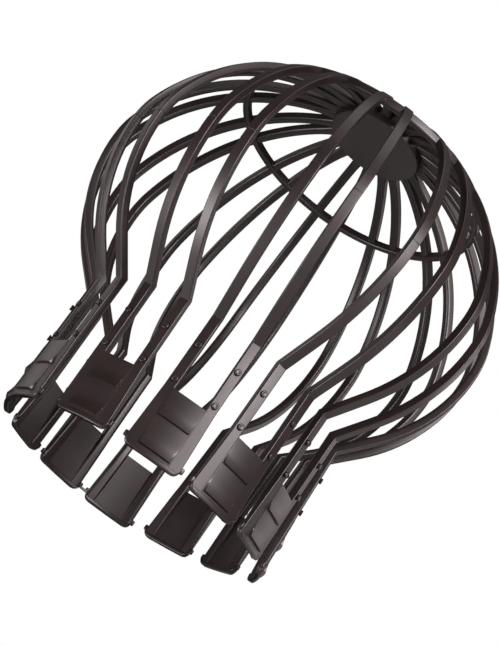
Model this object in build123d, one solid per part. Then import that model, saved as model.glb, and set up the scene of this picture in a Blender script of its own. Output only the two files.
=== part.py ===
from build123d import *
import math
import os

# Gutter guard: a balloon-shaped leaf strainer in one plastic moulding.
# It stands mouth down on z = 0, its axis is the z axis, and sizes are in millimetres.
# Angles round the axis are counted from the front (-y) towards +x.

# Mouth and legs
LEG_RADIUS = 44.9
LEG_SPREAD = 6.65
LEG_WIDTH = 3.2
LEG_DEPTH = 2.9
WAIST_HEIGHT = 45.8

# Cage: the profile of a rib, as arcs that run into each other
CAGE_RADIUS = 69.2
EQUATOR_HEIGHT = 92.8
FLANK_RADIUS = 54.5
SHOULDER_RADIUS = 32.0
SHOULDER_TURN = 14.5
CROWN_RADIUS = 66.9
RIB_WIDTH = 3.2
RIB_DEPTH = 2.9
RIB_SPREAD = 6.9
RIB_SPREAD_AT_HUB = 1.8
RIB_END_IN_HUB = 1.5

# Hoop and hub
HOOP_RADIUS = 44.8
HOOP_HEIGHT = 136.2
HOOP_WIDTH = 2.4
HOOP_DEPTH = 3.0
HUB_RADIUS = 16.8
HUB_FACE_HEIGHT = 146.1
HUB_TOP_HEIGHT = 151.5

# Paddles
PADDLE_TOP = 20.6
PADDLE_FLARE = 0.8
PADDLE_SKIN = 1.3
RAIL_TAPER_TOP = 17.0
RAIL_TIP_DEPTH = 1.5
LIP_HEIGHT = 1.5
LIP_DEPTH = 1.9
RIDGE_HEIGHTS = (12.4, 2.7)
RIDGE_LENGTHS = (13.0, 19.6)
RIDGE_REACH = 1.0
RIDGE_FOOT = 1.1

# Where each paddle and its pair of ribs sit round the axis, in degrees.
# The soft legs have settled a few degrees away from an even 30 degree pitch.
PADDLE_ANGLES = (-65.5, -32, -1.2, 27.8, 56.5, 87, 121, 151, 182, 210.5, 237.5, 268.5)
CROWN_ANGLES = (-63, -32, -2.7, 27.1, 55.7, 84.5, 117.2, 148.2, 178, 208.1, 238.4, 268.5)

# A thread of plastic left between the lips of two neighbouring paddles.
THREAD_PADDLES = (8, 9)
THREAD_SIZE = 0.8
THREAD_LENGTH = 7.0
THREAD_HEIGHT = 2.2


def slab(face, thickness):
    """A flat face in the radial plane, thickened evenly to both sides of that plane."""
    return Pos(0, -thickness / 2, 0) * extrude(face, thickness, dir=(0, 1, 0))


def upright(points):
    """A flat face in the radial plane from (radius, height) points."""
    return make_face(Plane.XZ * Polyline(*points, close=True))


def rail():
    """One leg from the mouth to the waist, widening a little and thinning towards the tip."""
    inner = LEG_SPREAD - LEG_WIDTH / 2
    outer = LEG_SPREAD + LEG_WIDTH / 2
    near = LEG_RADIUS - LEG_DEPTH / 2
    far = LEG_RADIUS + LEG_DEPTH / 2
    front = [(inner, 0), (outer + PADDLE_FLARE, 0), (outer, WAIST_HEIGHT), (inner, WAIST_HEIGHT)]
    profile = [(far - RAIL_TIP_DEPTH, 0), (far, 0), (far, WAIST_HEIGHT), (near, WAIST_HEIGHT), (near, RAIL_TAPER_TOP)]
    width = extrude(make_face(Plane.YZ * Polyline(*front, close=True)), 2 * LEG_RADIUS)
    depth = slab(upright(profile), 4 * LEG_SPREAD)
    return width & depth


def panel():
    """The thin plate between the two rails of a paddle, flush with them outside."""
    half = LEG_SPREAD - LEG_WIDTH / 2 + 0.2
    centre = LEG_RADIUS + LEG_DEPTH / 2 - PADDLE_SKIN / 2
    return Pos(centre, 0, PADDLE_TOP / 2) * Box(PADDLE_SKIN, 2 * half, PADDLE_TOP)


def lip():
    """The thickened rim along the bottom of a paddle."""
    half = LEG_SPREAD + LEG_WIDTH / 2 + PADDLE_FLARE
    outside = LEG_RADIUS + LEG_DEPTH / 2 + 0.15
    return Pos(outside - LIP_DEPTH / 2, 0, LIP_HEIGHT / 2) * Box(LIP_DEPTH, 2 * half, LIP_HEIGHT)


def ridge(height, length):
    """A barb across the outside of a paddle, sloped above and flat below."""
    foot = LEG_RADIUS + LEG_DEPTH / 2 - 0.3
    tip = LEG_RADIUS + LEG_DEPTH / 2 + RIDGE_REACH
    tooth = upright([(foot, height - 0.35), (tip, height - 0.35), (foot, height + RIDGE_FOOT)])
    return slab(tooth, length)


def paddle():
    """A whole paddle with its two legs, built on the +x side.

    The lower barb runs past both legs and leaves a small stub at each corner.
    """
    pieces = [rail(), mirror(rail(), about=Plane.XZ), panel(), lip()]
    pieces += [ridge(z, length) for z, length in zip(RIDGE_HEIGHTS, RIDGE_LENGTHS)]
    return pieces[0].fuse(*pieces[1:])


def strap(outer, inner):
    """A flat bar between two edges in the radial plane, joined at both ends."""
    edges = outer + inner + Line(outer @ 0, inner @ 0) + Line(outer @ 1, inner @ 1)
    return slab(make_face(Plane.XZ * edges), RIB_WIDTH)


def crown_rib(side):
    """The upper half of a rib, two arcs from the equator over the shoulder to the hub."""
    start_x = math.sqrt(CAGE_RADIUS**2 - RIB_SPREAD**2)
    lean = math.degrees(math.atan2(RIB_SPREAD - RIB_SPREAD_AT_HUB, start_x - HUB_RADIUS))
    turn = math.radians(SHOULDER_TURN)
    step = CROWN_RADIUS - SHOULDER_RADIUS
    shoulder_centre = (-SHOULDER_RADIUS, 0)
    crown_centre = (-SHOULDER_RADIUS - step * math.cos(turn), -step * math.sin(turn))
    hub_reach = start_x + crown_centre[0] - HUB_RADIUS + RIB_END_IN_HUB
    sweep = 90 - math.degrees(math.asin(abs(hub_reach) / CROWN_RADIUS)) - SHOULDER_TURN
    half = RIB_DEPTH / 2

    def edge(offset):
        shoulder = CenterArc(shoulder_centre, SHOULDER_RADIUS + offset, 0, SHOULDER_TURN)
        crown = CenterArc(crown_centre, CROWN_RADIUS + offset, SHOULDER_TURN, sweep)
        return shoulder + crown

    rib = strap(edge(half), edge(-half))
    return Pos(start_x, side * RIB_SPREAD, EQUATOR_HEIGHT) * Rot(0, 0, side * lean) * rib


def waist_rib(side, turn):
    """The lower half of a rib, an arc from the equator that runs out straight to the top of its leg.

    The leg stands turn degrees further round the axis than the crown of the rib.
    """
    start_x = math.sqrt(CAGE_RADIUS**2 - RIB_SPREAD**2)
    bend = math.radians(turn)
    foot_x = LEG_RADIUS * math.cos(bend) - side * LEG_SPREAD * math.sin(bend)
    foot_y = LEG_RADIUS * math.sin(bend) + side * LEG_SPREAD * math.cos(bend)
    run = math.hypot(start_x - foot_x, side * RIB_SPREAD - foot_y)
    yaw = math.degrees(math.atan2(side * RIB_SPREAD - foot_y, start_x - foot_x))
    drop = EQUATOR_HEIGHT - WAIST_HEIGHT
    reach = math.hypot(run - FLANK_RADIUS, drop)
    slope = math.atan2(run - FLANK_RADIUS, drop) + math.asin(FLANK_RADIUS / reach)
    straight = math.sqrt(reach**2 - FLANK_RADIUS**2) + 1.0
    half = RIB_DEPTH / 2

    def edge(offset):
        flank = CenterArc((-FLANK_RADIUS, 0), FLANK_RADIUS + offset, 0, -math.degrees(slope))
        end = flank @ 1
        foot = (end.X - straight * math.sin(slope), end.Y - straight * math.cos(slope))
        return flank + Line(end, foot)

    rib = strap(edge(half), edge(-half))
    return Pos(start_x, side * RIB_SPREAD, EQUATOR_HEIGHT) * Rot(0, 0, yaw) * rib


def hoop():
    """The ring that ties all the ribs together on their inner faces, below the hub."""
    section = Pos(HOOP_RADIUS, HOOP_HEIGHT) * Rectangle(HOOP_WIDTH, HOOP_DEPTH)
    return revolve(Plane.XZ * section, Axis.Z)


def hub():
    """The solid disc at the top, flat inside and outside."""
    thickness = HUB_TOP_HEIGHT - HUB_FACE_HEIGHT
    return Pos(0, 0, HUB_FACE_HEIGHT + thickness / 2) * Cylinder(HUB_RADIUS, thickness)


def thread():
    """The bridge of plastic between two paddle lips."""
    first, second = (PADDLE_ANGLES[i] for i in THREAD_PADDLES)
    middle = (first + second) / 2
    bar = Box(THREAD_SIZE, THREAD_LENGTH, THREAD_SIZE)
    reach = (LEG_RADIUS + 0.3) * math.cos(math.radians((second - first) / 2)) + 2.2
    return Rot(0, 0, middle - 90) * (Pos(reach, 0, THREAD_HEIGHT) * bar)


def gutter_guard():
    """All of the moulding as one solid."""
    plain_paddle = paddle()
    crown_pair = [crown_rib(-1), crown_rib(1)]
    body = [hoop()]
    for paddle_angle, crown_angle in zip(PADDLE_ANGLES, CROWN_ANGLES):
        turn = paddle_angle - crown_angle
        body.append(Rot(0, 0, paddle_angle - 90) * plain_paddle)
        body += [Rot(0, 0, crown_angle - 90) * rib for rib in crown_pair]
        body += [Rot(0, 0, crown_angle - 90) * waist_rib(side, turn) for side in (-1, 1)]
    body.append(thread())
    return hub().fuse(*body)


os.makedirs("parts", exist_ok=True)
guard = gutter_guard()
export_step(guard, "parts/gutter_guard.step")
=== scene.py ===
import bpy
import bmesh
import math
from mathutils import Matrix, Vector


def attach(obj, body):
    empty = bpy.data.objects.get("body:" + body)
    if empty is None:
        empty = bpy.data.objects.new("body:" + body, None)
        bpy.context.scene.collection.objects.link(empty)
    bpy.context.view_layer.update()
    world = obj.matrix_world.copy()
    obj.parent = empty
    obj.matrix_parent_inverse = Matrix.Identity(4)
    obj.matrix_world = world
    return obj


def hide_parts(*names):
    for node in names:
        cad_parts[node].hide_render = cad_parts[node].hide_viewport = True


# Gutter guard: one moulding in near-black polypropylene, mouth down on z = 0, axis on z.
# The object's lengths are in millimetres. Angles round the axis are in degrees, from the
# front (-y) towards +x. The floor and the lamps are in metres.
MM = 0.001
UP = Vector((0, 0, 1))

# Legs
LEG_RADIUS = 44.9
LEG_SPREAD = 6.65
LEG_WIDTH = 3.2
LEG_DEPTH = 2.9
WAIST_HEIGHT = 45.8
RAIL_TAPER_TOP = 17.0
RAIL_TIP_DEPTH = 1.5
LEG_HEIGHTS = (0, 0.2, 0.5, 0.9, 1.4, 2, 4, 8, 12, 17, 20.6, 26, 32, 38, 42)

# Paddles: the pillowed plate, the lip, the barbs and the ears
PADDLE_TOP = 20.6
PADDLE_FLARE = 0.8
PADDLE_BULGE = 0.2
PADDLE_SKIN = 1.3
PADDLE_CORNER = 2.0
PADDLE_ARC = 46.9
PILLOW_HALF = 5.9
PILLOW_BOW = 0.4
PILLOW_RISE = 0.2
PILLOW_FADE = 3.0
PILLOW_EDGE = 0.95
PILLOW_DIP = 0.6
PLATE_HEIGHTS = (0.05, 0.8, 1.6, 2.2, 2.35, 2.6, 3.1, 4, 5.2, 6.5, 7.8, 9.2, 10.6, 11.9, 12.05,
                 12.3, 12.8, 13.7, 15, 16.5, 18, 19.2, 20, 20.45, PADDLE_TOP)
PLATE_SHARES = (-1, -0.95, -0.9, -0.88, -0.8, -0.65, -0.45, -0.22, 0,
                0.22, 0.45, 0.65, 0.8, 0.88, 0.9, 0.95, 1)
BARB_TIPS = (12.05, 2.35)
BARB_RUN = 3.5
BARB_REACH = 0.75
BARB_END = 0.9
BARB_END_RUN = 0.02
LIP_HEIGHT = 1.5
LIP_LEAST_HEIGHT = 0.9
LIP_DEPTH = 1.9
LIP_STAND_OUT = 0.15
LIP_CORNER = 0.44
LIP_SHARES = (-1, -0.98, -0.94, -0.88, -0.8, -0.6, -0.4, -0.2, 0,
              0.2, 0.4, 0.6, 0.8, 0.88, 0.94, 0.98, 1)
EAR_HEIGHT = 1.7
EAR_REACH = 1.0
EAR_DEPTH = 1.3
EAR_BOTTOM = 1.9
EAR_SET_BACK = 0.8
EAR_SET_IN = 0.15

# Pegs on the outer face of each leg
PEG_NECK = 0.85
PEG_HEAD = 1.0
PEG_REACH = 0.8
PEG_ROOT = 0.5
PEG_HEIGHTS = (23.2, 35.2)

# Cage
CAGE_RADIUS = 69.2
EQUATOR_HEIGHT = 92.8
FLANK_RADIUS = 54.5
SHOULDER_RADIUS = 32.0
SHOULDER_TURN = 14.5
CROWN_RADIUS = 66.9
RIB_WIDTH = 3.2
RIB_DEPTH = 2.9
RIB_SPREAD = 6.9
RIB_SPREAD_AT_HUB = 1.8
RIB_END_IN_HUB = 1.5
OUTER_CORNER = 0.35
INNER_CORNER = 1.0
ROOT_RUN = 8.0
ROOT_FLARE = 0.55
PARTING_DROP = 1.2
PARTING_DEPTH = 0.12

# Hoop and hub
HOOP_RADIUS = 44.8
HOOP_HEIGHT = 136.2
HOOP_WIDTH = 2.4
HOOP_DEPTH = 3.0
HUB_RADIUS = 16.8
HUB_FACE_HEIGHT = 146.1
HUB_TOP_HEIGHT = 151.5

# Where each paddle and its pair of ribs sit round the axis
PADDLE_ANGLES = (-65.5, -32, -1.2, 27.8, 56.5, 87, 121, 151, 182, 210.5, 237.5, 268.5)
CROWN_ANGLES = (-63, -32, -2.7, 27.1, 55.7, 84.5, 117.2, 148.2, 178, 208.1, 238.4, 268.5)
# How the lower end of each soft leg leans: outward, sideways and up
LEG_LEANS = (
    (-0.85, 0.07, 0), (-1.4, 1.04, 0), (-1.02, 0.88, 0), (0.25, -0.21, 0),
    (-0.24, -0.49, 0.7), (0.89, -0.73, 0.1), (-1.24, 0.64, 1.5), (-0.6, 1.44, 1.4),
    (0.21, 0.1, 0), (-0.22, -1.28, 0), (-0.78, -1.06, 0), (-0.86, -0.39, 0),
)
THREAD_PADDLES = (8, 9)
THREAD_SIZE = 0.8
THREAD_LENGTH = 6.0
THREAD_HEIGHT = 2.2
THREAD_STAND_OUT = 2.2

# Camera: it looks up into the mouth, and its picture is turned against the guard's axis.
# VIEW_SPAN is what the long side of the picture spans at the aim.
TILT = math.radians(21.337)
ROLL = math.radians(-0.601)
TURN_COS, TURN_SIN = 0.819, 0.574
AIM = Vector((0.673, 0, 67.65))
DISTANCE = 465.7
VIEW_SPAN = 646 * 0.32
SENSOR = 36

# Floor and light, in metres and watts
FLOOR_SIZE = 8.0
FLOOR_DROP = 0.0002
LIT_SPOT = Vector((0, 0, 0.075))
MAUVE = (1.0, 0.91, 0.915)
PLAIN = (1.0, 1.0, 1.0)
# name, azimuth, elevation, distance, size, power and tint
LAMPS = (
    ("front_lamp", 27, 19, 0.9, 0.42, 11.5, MAUVE),
    ("left_low_lamp", -57, -28, 0.9, 0.3, 7.0, MAUVE),
    ("right_lamp", 116, 16, 0.9, 0.5, 1.2, MAUVE),
    ("left_lamp", -124, 16, 0.9, 0.5, 0.6, MAUVE),
    ("high_lamp", 0, 80, 1.2, 0.8, 2.0, PLAIN),
)


def radial(angle):
    a = math.radians(angle)
    return Vector((math.sin(a), -math.cos(a), 0))


def along(angle):
    a = math.radians(angle)
    return Vector((math.cos(a), math.sin(a), 0))


def spot(angle, radius, across, height):
    """A point from its radius, its distance sideways and its height, at an angle round the axis."""
    return radial(angle) * radius + along(angle) * across + Vector((0, 0, height))


def leg_spot(index, radius, across, height):
    """A point on a paddle or its legs, with the lean of that paddle below the waist."""
    out, sideways, up = LEG_LEANS[index]
    low = 1 - height / WAIST_HEIGHT
    return spot(PADDLE_ANGLES[index], radius + out * low, across + sideways * low, height + up * low)


def leg_facing(index, side):
    """The outward and sideways directions of one leg of a paddle, which faces away from the axis."""
    turned = PADDLE_ANGLES[index] + side * math.degrees(math.atan2(LEG_SPREAD, LEG_RADIUS))
    return radial(turned), along(turned)


def rounded(half_width, half_depth, corner, inner_corner, steps=4):
    """A rounded rectangle as (across, outward) pairs, with its own corners on the inner side."""
    points = []
    for cx, cy, first in ((1, 1, 0), (-1, 1, 90), (-1, -1, 180), (1, -1, 270)):
        radius = corner if cy > 0 else inner_corner
        for k in range(steps + 1):
            a = math.radians(first + 90 * k / steps)
            x = cx * (half_width - radius) + radius * math.cos(a)
            y = cy * (half_depth - radius) + radius * math.sin(a)
            points.append((x, y))
    return points


def skin(bm, rings):
    """A closed skin over a row of rings, with a flat face at each end."""
    count = len(rings[0])
    for low, high in zip(rings, rings[1:]):
        for i in range(count):
            j = (i + 1) % count
            bm.faces.new((low[i], low[j], high[j], high[i]))
    bm.faces.new(list(reversed(rings[0])))
    bm.faces.new(rings[-1])


def sweep(bm, stations):
    """A closed bar through (centre, side, outward, half width, half depth, corners) stations."""
    rings = []
    for centre, side, outward, half_width, half_depth, corners in stations:
        outline = rounded(half_width, half_depth, *corners)
        rings.append([bm.verts.new(centre + side * x + outward * y) for x, y in outline])
    skin(bm, rings)


def box(bm, centre, side, outward, size):
    """An upright block with rounded vertical edges and eased ends."""
    width, depth, height = size
    corner = min(width, depth) * 0.35
    stations = []
    for z, shrink in ((-0.5, 0.12), (-0.5 + 0.12, 0.0), (0.5 - 0.12, 0.0), (0.5, 0.12)):
        inset = shrink * min(height, width, depth)
        middle = centre + UP * (z * height)
        stations.append((middle, side, outward, width / 2 - inset, depth / 2 - inset, (corner, corner)))
    sweep(bm, stations)


def lathe(bm, profile, count):
    """A body of revolution round z from a closed (radius, height) profile that stays off the axis."""
    rings = []
    for k in range(count):
        a = 2 * math.pi * k / count
        rings.append([bm.verts.new((r * math.cos(a), r * math.sin(a), z)) for r, z in profile])
    size = len(profile)
    for k in range(count):
        here, there = rings[k], rings[(k + 1) % count]
        for i in range(size):
            j = (i + 1) % size
            bm.faces.new((here[i], there[i], there[j], here[j]))


def disc(bm, centre, axis, profile, count):
    """A round body on an axis from an open (radius, distance) profile, flat at both ends."""
    turn = axis.to_track_quat("Z", "Y").to_matrix()
    rings = []
    for r, d in profile:
        ring = []
        for k in range(count):
            a = 2 * math.pi * k / count
            ring.append(bm.verts.new(centre + turn @ Vector((r * math.cos(a), r * math.sin(a), d))))
        rings.append(ring)
    skin(bm, rings)


def corner_inset(height):
    """How far the rounded lower corner of a paddle is cut back at a height above the mouth."""
    left = PADDLE_CORNER - height
    if left <= 0:
        return 0.0
    return PADDLE_CORNER - math.sqrt(max(0.0, PADDLE_CORNER ** 2 - left ** 2))


def leg_stations(index, side):
    """One leg from the mouth up, thinner and a little wider towards its tip."""
    leg_out, leg_side = leg_facing(index, side)
    stations = []
    for z in LEG_HEIGHTS:
        low = max(0.0, 1 - z / RAIL_TAPER_TOP)
        depth = LEG_DEPTH + (RAIL_TIP_DEPTH - LEG_DEPTH) * low
        flare = PADDLE_FLARE * max(0.0, 1 - z / PADDLE_TOP) - corner_inset(z)
        centre = leg_spot(index, LEG_RADIUS, side * LEG_SPREAD, z)
        centre += leg_out * ((LEG_DEPTH - depth) / 2) + leg_side * (side * flare / 2)
        corners = (OUTER_CORNER, min(INNER_CORNER, depth - 0.6))
        stations.append((centre, leg_side, leg_out, (LEG_WIDTH + flare) / 2, depth / 2, corners))
    return stations


def waist_station(foot, way, out, leg_out, leg_side):
    """The bend where a leg runs into its rib, turned halfway between the two."""
    across = way.cross(out)
    if across.dot(leg_side) < 0:
        across = -across
    halfway = (out + leg_out).normalized()
    stretch = 1 / max(0.6, halfway.dot(leg_out))
    corners = (OUTER_CORNER, INNER_CORNER)
    return foot, (leg_side + across).normalized(), halfway, LEG_WIDTH / 2, LEG_DEPTH / 2 * stretch, corners


def arc_point(centre, plan, radius, angle):
    """A point of an upright arc, at an angle above the level of its centre."""
    return centre + (plan * math.cos(angle) + UP * math.sin(angle)) * radius


def flank_line(foot, top):
    """The lower half of a rib, straight and then an arc, as (point, groove depth) pairs."""
    plan = Vector((top.x - foot.x, top.y - foot.y, 0))
    run = plan.length
    plan.normalize()
    drop = EQUATOR_HEIGHT - WAIST_HEIGHT
    reach = math.hypot(run - FLANK_RADIUS, drop)
    slope = math.atan2(run - FLANK_RADIUS, drop) + math.asin(FLANK_RADIUS / reach)
    straight = math.sqrt(reach ** 2 - FLANK_RADIUS ** 2)
    way = plan * math.sin(slope) + UP * math.cos(slope)
    line = [(foot + way * (straight * k / 4), 0.0) for k in range(1, 4)]
    parting = PARTING_DROP / FLANK_RADIUS
    turns = [(slope + (parting * 1.5 - slope) * k / 15, 0.0) for k in range(16)]
    turns += [(parting * 1.15, 0.0), (parting * 1.05, PARTING_DEPTH)]
    turns += [(parting * 0.95, PARTING_DEPTH), (parting * 0.85, 0.0), (0.0, 0.0)]
    centre = top - plan * FLANK_RADIUS
    return line + [(arc_point(centre, plan, FLANK_RADIUS, -a), groove) for a, groove in turns]


def crown_line(top, hub_end):
    """The upper half of a rib, over the shoulder and the crown to the hub, without a groove."""
    plan = Vector((top.x - hub_end.x, top.y - hub_end.y, 0)).normalized()
    turn = math.radians(SHOULDER_TURN)
    shoulder = top - plan * SHOULDER_RADIUS
    line = [(arc_point(shoulder, plan, SHOULDER_RADIUS, turn * k / 8), 0.0) for k in range(1, 8)]
    crown = arc_point(shoulder, plan, SHOULDER_RADIUS - CROWN_RADIUS, turn)
    flat = Vector((crown.x, crown.y, 0)).dot(plan)
    end = math.acos(max(-1.0, min(1.0, (HUB_RADIUS - RIB_END_IN_HUB - flat) / CROWN_RADIUS)))
    for k in range(29):
        line.append((arc_point(crown, plan, CROWN_RADIUS, turn + (end - turn) * k / 28), 0.0))
    return line


def strap_stations(index, side):
    """The whole run of one leg and its rib, from the mouth to the hub."""
    crown = CROWN_ANGLES[index]
    foot = spot(PADDLE_ANGLES[index], LEG_RADIUS, side * LEG_SPREAD, WAIST_HEIGHT)
    top = spot(crown, math.sqrt(CAGE_RADIUS ** 2 - RIB_SPREAD ** 2), side * RIB_SPREAD, EQUATOR_HEIGHT)
    hub_end = spot(crown, HUB_RADIUS - RIB_END_IN_HUB, side * RIB_SPREAD_AT_HUB, 0)
    line = [(foot, 0.0)] + flank_line(foot, top) + crown_line(top, hub_end)
    leg_out, leg_side = leg_facing(index, side)
    stations = leg_stations(index, side)
    for k in range(1, len(line)):
        point, groove = line[k]
        way = (line[min(k + 1, len(line) - 1)][0] - line[k - 1][0]).normalized()
        around = Vector((-point.y, point.x, 0)).normalized()
        out = around.cross(way).normalized()
        if k == 1:
            stations.append(waist_station(foot, way, out, leg_out, leg_side))
        across = out.cross(way)
        if across.dot(leg_side) < 0:
            across = -across
        near_hub = max(0.0, 1 - (point.xy.length - HUB_RADIUS) / ROOT_RUN)
        half_width = RIB_WIDTH / 2 + ROOT_FLARE * near_hub ** 2 - groove
        half_depth = RIB_DEPTH / 2 - groove
        stations.append((point, across, out, half_width, half_depth, (OUTER_CORNER, INNER_CORNER)))
    return stations


def paddle_bow(across):
    """How far a paddle stands out at a distance from its middle, as part of a round spigot."""
    return math.sqrt(PADDLE_ARC ** 2 - across ** 2) - math.sqrt(PADDLE_ARC ** 2 - LEG_SPREAD ** 2)


def barb_rise(height):
    """How far a plate stands out for its barbs, flat below and sloped above, as a share of their reach."""
    for tip in BARB_TIPS:
        if tip <= height < tip + BARB_RUN:
            return (1 - (height - tip) / BARB_RUN) ** 1.5
    return 0.0


def plate_outside(across, height):
    """The pillowed outer surface of a paddle, as a radius. Its edge dips into the legs."""
    u = abs(across) / PILLOW_HALF
    fade = min(1.0, math.sqrt(max(0.0, PADDLE_TOP - height) / PILLOW_FADE))
    if height < BARB_TIPS[1]:
        fade *= 0.5
    edge = PILLOW_RISE - PILLOW_DIP * max(0.0, (u - PILLOW_EDGE) / (1 - PILLOW_EDGE))
    tooth = min(1.0, max(0.0, (BARB_END - u) / BARB_END_RUN))
    rise = edge + PADDLE_BULGE * (1 - u ** 2) * fade + BARB_REACH * tooth * barb_rise(height)
    return LEG_RADIUS + LEG_DEPTH / 2 + PILLOW_BOW * paddle_bow(across) + rise


def plate_inside(across):
    """The inner surface of a paddle's plate, as a radius."""
    return LEG_RADIUS + LEG_DEPTH / 2 - PADDLE_SKIN + PILLOW_BOW * paddle_bow(across)


def panel(bm, index):
    """The plate between the two legs of a paddle, pillowed outside, with its two barbs."""
    across = [share * PILLOW_HALF for share in PLATE_SHARES]
    outer, inner = [], []
    for z in PLATE_HEIGHTS:
        outer.append([bm.verts.new(leg_spot(index, plate_outside(x, z), x, z)) for x in across])
        inner.append([bm.verts.new(leg_spot(index, plate_inside(x), x, z)) for x in across])
    rows, columns = len(PLATE_HEIGHTS) - 1, len(PLATE_SHARES) - 1
    for k in range(rows):
        for i in range(columns):
            bm.faces.new((outer[k][i], outer[k][i + 1], outer[k + 1][i + 1], outer[k + 1][i]))
            bm.faces.new((inner[k][i], inner[k + 1][i], inner[k + 1][i + 1], inner[k][i + 1]))
    for k in range(rows):
        bm.faces.new((outer[k][0], outer[k + 1][0], inner[k + 1][0], inner[k][0]))
        bm.faces.new((outer[k][-1], inner[k][-1], inner[k + 1][-1], outer[k + 1][-1]))
    for i in range(columns):
        bm.faces.new((outer[0][i], inner[0][i], inner[0][i + 1], outer[0][i + 1]))
        bm.faces.new((outer[-1][i], outer[-1][i + 1], inner[-1][i + 1], inner[-1][i]))


def lip(bm, index):
    """The thick rounded rim along the bottom of a paddle, bowed outward in plan."""
    half = LEG_SPREAD + LEG_WIDTH / 2 + PADDLE_FLARE - 0.05
    middle = LEG_RADIUS + LEG_DEPTH / 2 + LIP_STAND_OUT - LIP_DEPTH / 2
    out = radial(PADDLE_ANGLES[index])
    stations = []
    for share in LIP_SHARES:
        across = share * half
        beyond = max(0.0, abs(across) - (half - PADDLE_CORNER))
        low = PADDLE_CORNER - math.sqrt(max(0.0, PADDLE_CORNER ** 2 - beyond ** 2))
        high = max(LIP_HEIGHT, low + LIP_LEAST_HEIGHT)
        centre = leg_spot(index, middle + paddle_bow(across), across, (low + high) / 2)
        stations.append((centre, UP, out, (high - low) / 2, LIP_DEPTH / 2, (LIP_CORNER, LIP_CORNER)))
    sweep(bm, stations)


def peg(bm, index, side, height):
    """A small round peg with a neck, a wider head and a dished end."""
    out = leg_facing(index, side)[0]
    centre = leg_spot(index, LEG_RADIUS, side * LEG_SPREAD, height) + out * (LEG_DEPTH / 2 - PEG_ROOT)
    r = PEG_HEAD
    end = PEG_ROOT + PEG_REACH
    profile = [(PEG_NECK, 0), (PEG_NECK, end - 0.55), (r, end - 0.4), (r, end - 0.2),
               (r - 0.12, end - 0.05), (r - 0.3, end), (r - 0.5, end - 0.05), (r - 0.8, end - 0.1)]
    disc(bm, centre, out, profile, 20)


def body(name, build):
    """A closed mesh object from a function that fills a bmesh in millimetres."""
    bm = bmesh.new()
    build(bm)
    bmesh.ops.recalc_face_normals(bm, faces=bm.faces)
    bmesh.ops.scale(bm, vec=(MM, MM, MM), verts=bm.verts)
    mesh = bpy.data.meshes.new(name)
    bm.to_mesh(mesh)
    bm.free()
    thing = bpy.data.objects.new(name, mesh)
    bpy.context.scene.collection.objects.link(thing)
    return thing


def straps(first, side):
    """Every second leg and rib of one side, so that no two of them meet in one mesh."""
    def build(bm):
        for index in range(first, 12, 2):
            sweep(bm, strap_stations(index, side))
    return build


def panels(bm):
    for index in range(12):
        panel(bm, index)


def lips(bm):
    for index in range(12):
        lip(bm, index)


def ears(bm):
    """A small rounded stub at each lower corner of a paddle."""
    for index in range(12):
        for side in (-1, 1):
            out, across = leg_facing(index, side)
            centre = leg_spot(index, LEG_RADIUS, side * LEG_SPREAD, EAR_BOTTOM + EAR_HEIGHT / 2)
            centre += out * (LEG_DEPTH / 2 - EAR_SET_BACK)
            centre += across * (side * (LEG_WIDTH / 2 + PADDLE_FLARE - EAR_SET_IN))
            box(bm, centre, across, out, (2 * EAR_REACH, EAR_DEPTH, EAR_HEIGHT))


def pegs(bm):
    for index in range(12):
        for side in (-1, 1):
            for height in PEG_HEIGHTS:
                peg(bm, index, side, height)


def hoop(bm):
    section = rounded(HOOP_WIDTH / 2, HOOP_DEPTH / 2, 0.4, 0.9)
    lathe(bm, [(HOOP_RADIUS + x, HOOP_HEIGHT + y) for x, y in section], 160)


def hub(bm):
    """The disc at the top, with a small chamfer inside and a rounded rim outside."""
    rise = HUB_TOP_HEIGHT - HUB_FACE_HEIGHT
    profile = [(HUB_RADIUS - 0.5, 0), (HUB_RADIUS - 0.15, 0.15), (HUB_RADIUS, 0.5), (HUB_RADIUS, rise - 1.6),
               (HUB_RADIUS - 0.5, rise - 0.9), (HUB_RADIUS - 2.4, rise - 0.1), (HUB_RADIUS - 5, rise)]
    disc(bm, Vector((0, 0, HUB_FACE_HEIGHT)), UP, profile, 96)


def thread(bm):
    """The bridge of plastic between the lips of two neighbouring paddles."""
    first, second = (PADDLE_ANGLES[i] for i in THREAD_PADDLES)
    middle = (first + second) / 2
    reach = (LEG_RADIUS + 0.3) * math.cos(math.radians((second - first) / 2)) + THREAD_STAND_OUT
    centre = spot(middle, reach, 0, THREAD_HEIGHT)
    box(bm, centre, along(middle), radial(middle), (THREAD_LENGTH, THREAD_SIZE, THREAD_SIZE))


def fused(name, parts):
    """One closed mesh from overlapping closed meshes."""
    whole = parts[0]
    for part in parts[1:]:
        join = whole.modifiers.new("union", "BOOLEAN")
        join.operation = "UNION"
        join.solver = "MANIFOLD"
        join.object = part
        bpy.context.view_layer.update()
        graph = bpy.context.evaluated_depsgraph_get()
        mesh = bpy.data.meshes.new_from_object(whole.evaluated_get(graph))
        whole.modifiers.clear()
        old = whole.data
        whole.data = mesh
        bpy.data.meshes.remove(old)
        bpy.data.objects.remove(part)
    whole.name = name
    whole.data.name = name
    return whole


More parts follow.
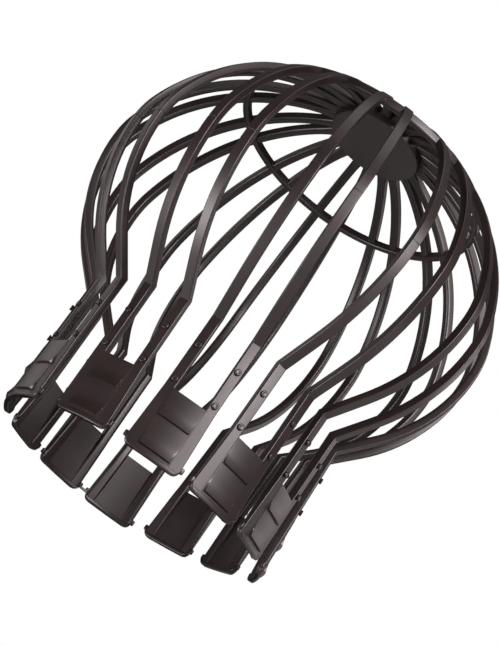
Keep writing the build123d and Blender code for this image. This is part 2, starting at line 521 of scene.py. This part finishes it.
def whole_moulding():
    """The whole guard as one mesh, smooth over its curves and crisp at its edges."""
    whole = fused("gutter_guard_moulding", [
        body("straps_left_even", straps(0, -1)),
        body("straps_right_even", straps(0, 1)),
        body("straps_left_odd", straps(1, -1)),
        body("straps_right_odd", straps(1, 1)),
        body("panels", panels),
        body("lips", lips),
        body("ears", ears),
        body("pegs", pegs),
        body("hoop", hoop),
        body("hub", hub),
        body("thread", thread),
    ])
    whole.data.shade_smooth()
    whole.data.set_sharp_from_angle(angle=math.radians(38))
    flat_faces = whole.modifiers.new("flat_faces", "WEIGHTED_NORMAL")
    flat_faces.keep_sharp = True
    whole.data.materials.clear()
    whole.data.materials.append(plastic())
    for polygon in whole.data.polygons:
        polygon.material_index = 0
    return whole


def grain_group():
    """Fine unevenness of a moulded surface: a mottle, a roughness and a bump height."""
    group = bpy.data.node_groups.new("moulded_grain", "ShaderNodeTree")
    group.interface.new_socket("Scale", in_out="INPUT", socket_type="NodeSocketFloat").default_value = 900.0
    for output in ("Mottle", "Roughness", "Height"):
        group.interface.new_socket(output, in_out="OUTPUT", socket_type="NodeSocketFloat")
    nodes, links = group.nodes, group.links
    source = nodes.new("NodeGroupInput")
    sink = nodes.new("NodeGroupOutput")
    where = nodes.new("ShaderNodeTexCoord")
    fine = nodes.new("ShaderNodeTexNoise")
    links.new(where.outputs["Object"], fine.inputs["Vector"])
    links.new(source.outputs["Scale"], fine.inputs["Scale"])
    broad = nodes.new("ShaderNodeTexNoise")
    broad.inputs["Scale"].default_value = 60.0
    broad.inputs["Detail"].default_value = 4.0
    links.new(where.outputs["Object"], broad.inputs["Vector"])
    rough = nodes.new("ShaderNodeMapRange")
    rough.inputs["To Min"].default_value = 0.32
    rough.inputs["To Max"].default_value = 0.44
    links.new(broad.outputs["Fac"], rough.inputs["Value"])
    links.new(broad.outputs["Fac"], sink.inputs["Mottle"])
    links.new(rough.outputs["Result"], sink.inputs["Roughness"])
    links.new(fine.outputs["Fac"], sink.inputs["Height"])
    return group


def plastic():
    """Satin near-black polypropylene."""
    material = bpy.data.materials.new("satin_black_polypropylene")
    material.use_nodes = True
    nodes, links = material.node_tree.nodes, material.node_tree.links
    shader = nodes["Principled BSDF"]
    shader.inputs["Specular IOR Level"].default_value = 0.5
    grain = nodes.new("ShaderNodeGroup")
    grain.node_tree = grain_group()
    grain.inputs["Scale"].default_value = 900.0
    tone = nodes.new("ShaderNodeValToRGB")
    dark, light = tone.color_ramp.elements
    dark.position = 0.3
    dark.color = (0.0070, 0.0038, 0.0035, 1)
    light.position = 0.75
    light.color = (0.0130, 0.0074, 0.0069, 1)
    links.new(grain.outputs["Mottle"], tone.inputs["Fac"])
    links.new(tone.outputs["Color"], shader.inputs["Base Color"])
    links.new(grain.outputs["Roughness"], shader.inputs["Roughness"])
    bump = nodes.new("ShaderNodeBump")
    bump.inputs["Strength"].default_value = 0.03
    bump.inputs["Distance"].default_value = 0.0002
    links.new(grain.outputs["Height"], bump.inputs["Height"])
    links.new(bump.outputs["Normal"], shader.inputs["Normal"])
    return material


def floor_material():
    """White paper, pale to the camera from above. From below it isn't there, nor for the lamps' light."""
    material = bpy.data.materials.new("white_paper")
    material.use_nodes = True
    nodes, links = material.node_tree.nodes, material.node_tree.links
    paper = nodes["Principled BSDF"]
    paper.inputs["Base Color"].default_value = (0.9, 0.9, 0.9, 1)
    paper.inputs["Roughness"].default_value = 0.9
    paper.inputs["Specular IOR Level"].default_value = 0.1
    glow = nodes.new("ShaderNodeEmission")
    glow.inputs["Strength"].default_value = 0.4
    clear = nodes.new("ShaderNodeBsdfTransparent")
    which = nodes.new("ShaderNodeNewGeometry")
    path = nodes.new("ShaderNodeLightPath")
    pale = nodes.new("ShaderNodeAddShader")
    links.new(paper.outputs[0], pale.inputs[0])
    links.new(glow.outputs[0], pale.inputs[1])
    seen = nodes.new("ShaderNodeMixShader")
    links.new(path.outputs["Is Camera Ray"], seen.inputs[0])
    links.new(paper.outputs[0], seen.inputs[1])
    links.new(pale.outputs[0], seen.inputs[2])
    either = nodes.new("ShaderNodeMath")
    either.operation = "MAXIMUM"
    links.new(which.outputs["Backfacing"], either.inputs[0])
    links.new(path.outputs["Is Shadow Ray"], either.inputs[1])
    mix = nodes.new("ShaderNodeMixShader")
    links.new(either.outputs[0], mix.inputs[0])
    links.new(seen.outputs[0], mix.inputs[1])
    links.new(clear.outputs[0], mix.inputs[2])
    links.new(mix.outputs[0], nodes["Material Output"].inputs["Surface"])
    return material


def floor_sheet():
    """A level sheet just below the mouth."""
    mesh = bpy.data.meshes.new("floor")
    s, z = FLOOR_SIZE / 2, -FLOOR_DROP
    mesh.from_pydata([(-s, -s, z), (s, -s, z), (s, s, z), (-s, s, z)], [], [(0, 1, 2, 3)])
    mesh.materials.append(floor_material())
    sheet = bpy.data.objects.new("floor", mesh)
    bpy.context.scene.collection.objects.link(sheet)
    return sheet


def lamp(name, azimuth, elevation, distance, size, power, tint):
    """A soft round lamp, placed by angles as seen from the spot that it lights."""
    a, e = math.radians(azimuth), math.radians(elevation)
    away = Vector((math.sin(a) * math.cos(e), -math.cos(a) * math.cos(e), math.sin(e)))
    light = bpy.data.lights.new(name, "AREA")
    light.shape = "DISK"
    light.size = size
    light.energy = power
    light.color = tint
    thing = bpy.data.objects.new(name, light)
    thing.location = LIT_SPOT + away * distance
    thing.rotation_euler = away.to_track_quat("Z", "Y").to_euler()
    bpy.context.scene.collection.objects.link(thing)


def white_world():
    """A dim warm room all round that the camera sees as white."""
    world = bpy.data.worlds.new("white_room")
    bpy.context.scene.world = world
    world.use_nodes = True
    nodes, links = world.node_tree.nodes, world.node_tree.links
    room = nodes["Background"]
    room.inputs["Color"].default_value = (1, 0.95, 0.94, 1)
    room.inputs["Strength"].default_value = 0.115
    seen = nodes.new("ShaderNodeBackground")
    seen.inputs["Color"].default_value = (1, 1, 1, 1)
    seen.inputs["Strength"].default_value = 1.0
    path = nodes.new("ShaderNodeLightPath")
    mix = nodes.new("ShaderNodeMixShader")
    links.new(path.outputs["Is Camera Ray"], mix.inputs[0])
    links.new(room.outputs[0], mix.inputs[1])
    links.new(seen.outputs[0], mix.inputs[2])
    links.new(mix.outputs[0], nodes["World Output"].inputs["Surface"])


def camera():
    """The photograph's camera, below the mouth, with its picture turned about its line of sight."""
    toward = Vector((0, -math.cos(TILT), -math.sin(TILT)))
    up = Vector((0, -math.sin(TILT), math.cos(TILT)))
    across = Vector((1, 0, 0))
    level = across * math.cos(ROLL) - up * math.sin(ROLL)
    plumb = across * math.sin(ROLL) + up * math.cos(ROLL)
    right = (level * TURN_COS + plumb * TURN_SIN).normalized()
    top = plumb * TURN_COS - level * TURN_SIN
    top = (top - right * top.dot(right)).normalized()
    lens = bpy.data.cameras.new("camera")
    lens.sensor_width = SENSOR
    lens.lens = SENSOR * DISTANCE / VIEW_SPAN
    lens.clip_start = 0.01
    lens.clip_end = 20
    thing = bpy.data.objects.new("camera", lens)
    turn = Matrix((right, top, toward)).transposed().to_4x4()
    turn.translation = (AIM + toward * DISTANCE) * MM
    thing.matrix_world = turn
    bpy.context.scene.collection.objects.link(thing)
    bpy.context.scene.camera = thing


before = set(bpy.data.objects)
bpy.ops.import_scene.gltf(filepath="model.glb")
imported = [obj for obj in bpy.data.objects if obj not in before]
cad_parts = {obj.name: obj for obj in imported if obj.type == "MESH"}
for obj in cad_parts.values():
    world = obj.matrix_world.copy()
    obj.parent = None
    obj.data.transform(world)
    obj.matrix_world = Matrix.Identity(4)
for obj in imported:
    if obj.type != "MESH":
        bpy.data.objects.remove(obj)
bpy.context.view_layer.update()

moulding = whole_moulding()
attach(moulding, "root")
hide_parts("gutter_guard")

floor = floor_sheet()

white_world()
for settings in LAMPS:
    lamp(*settings)
camera()
bpy.context.scene.view_settings.view_transform = "Standard"
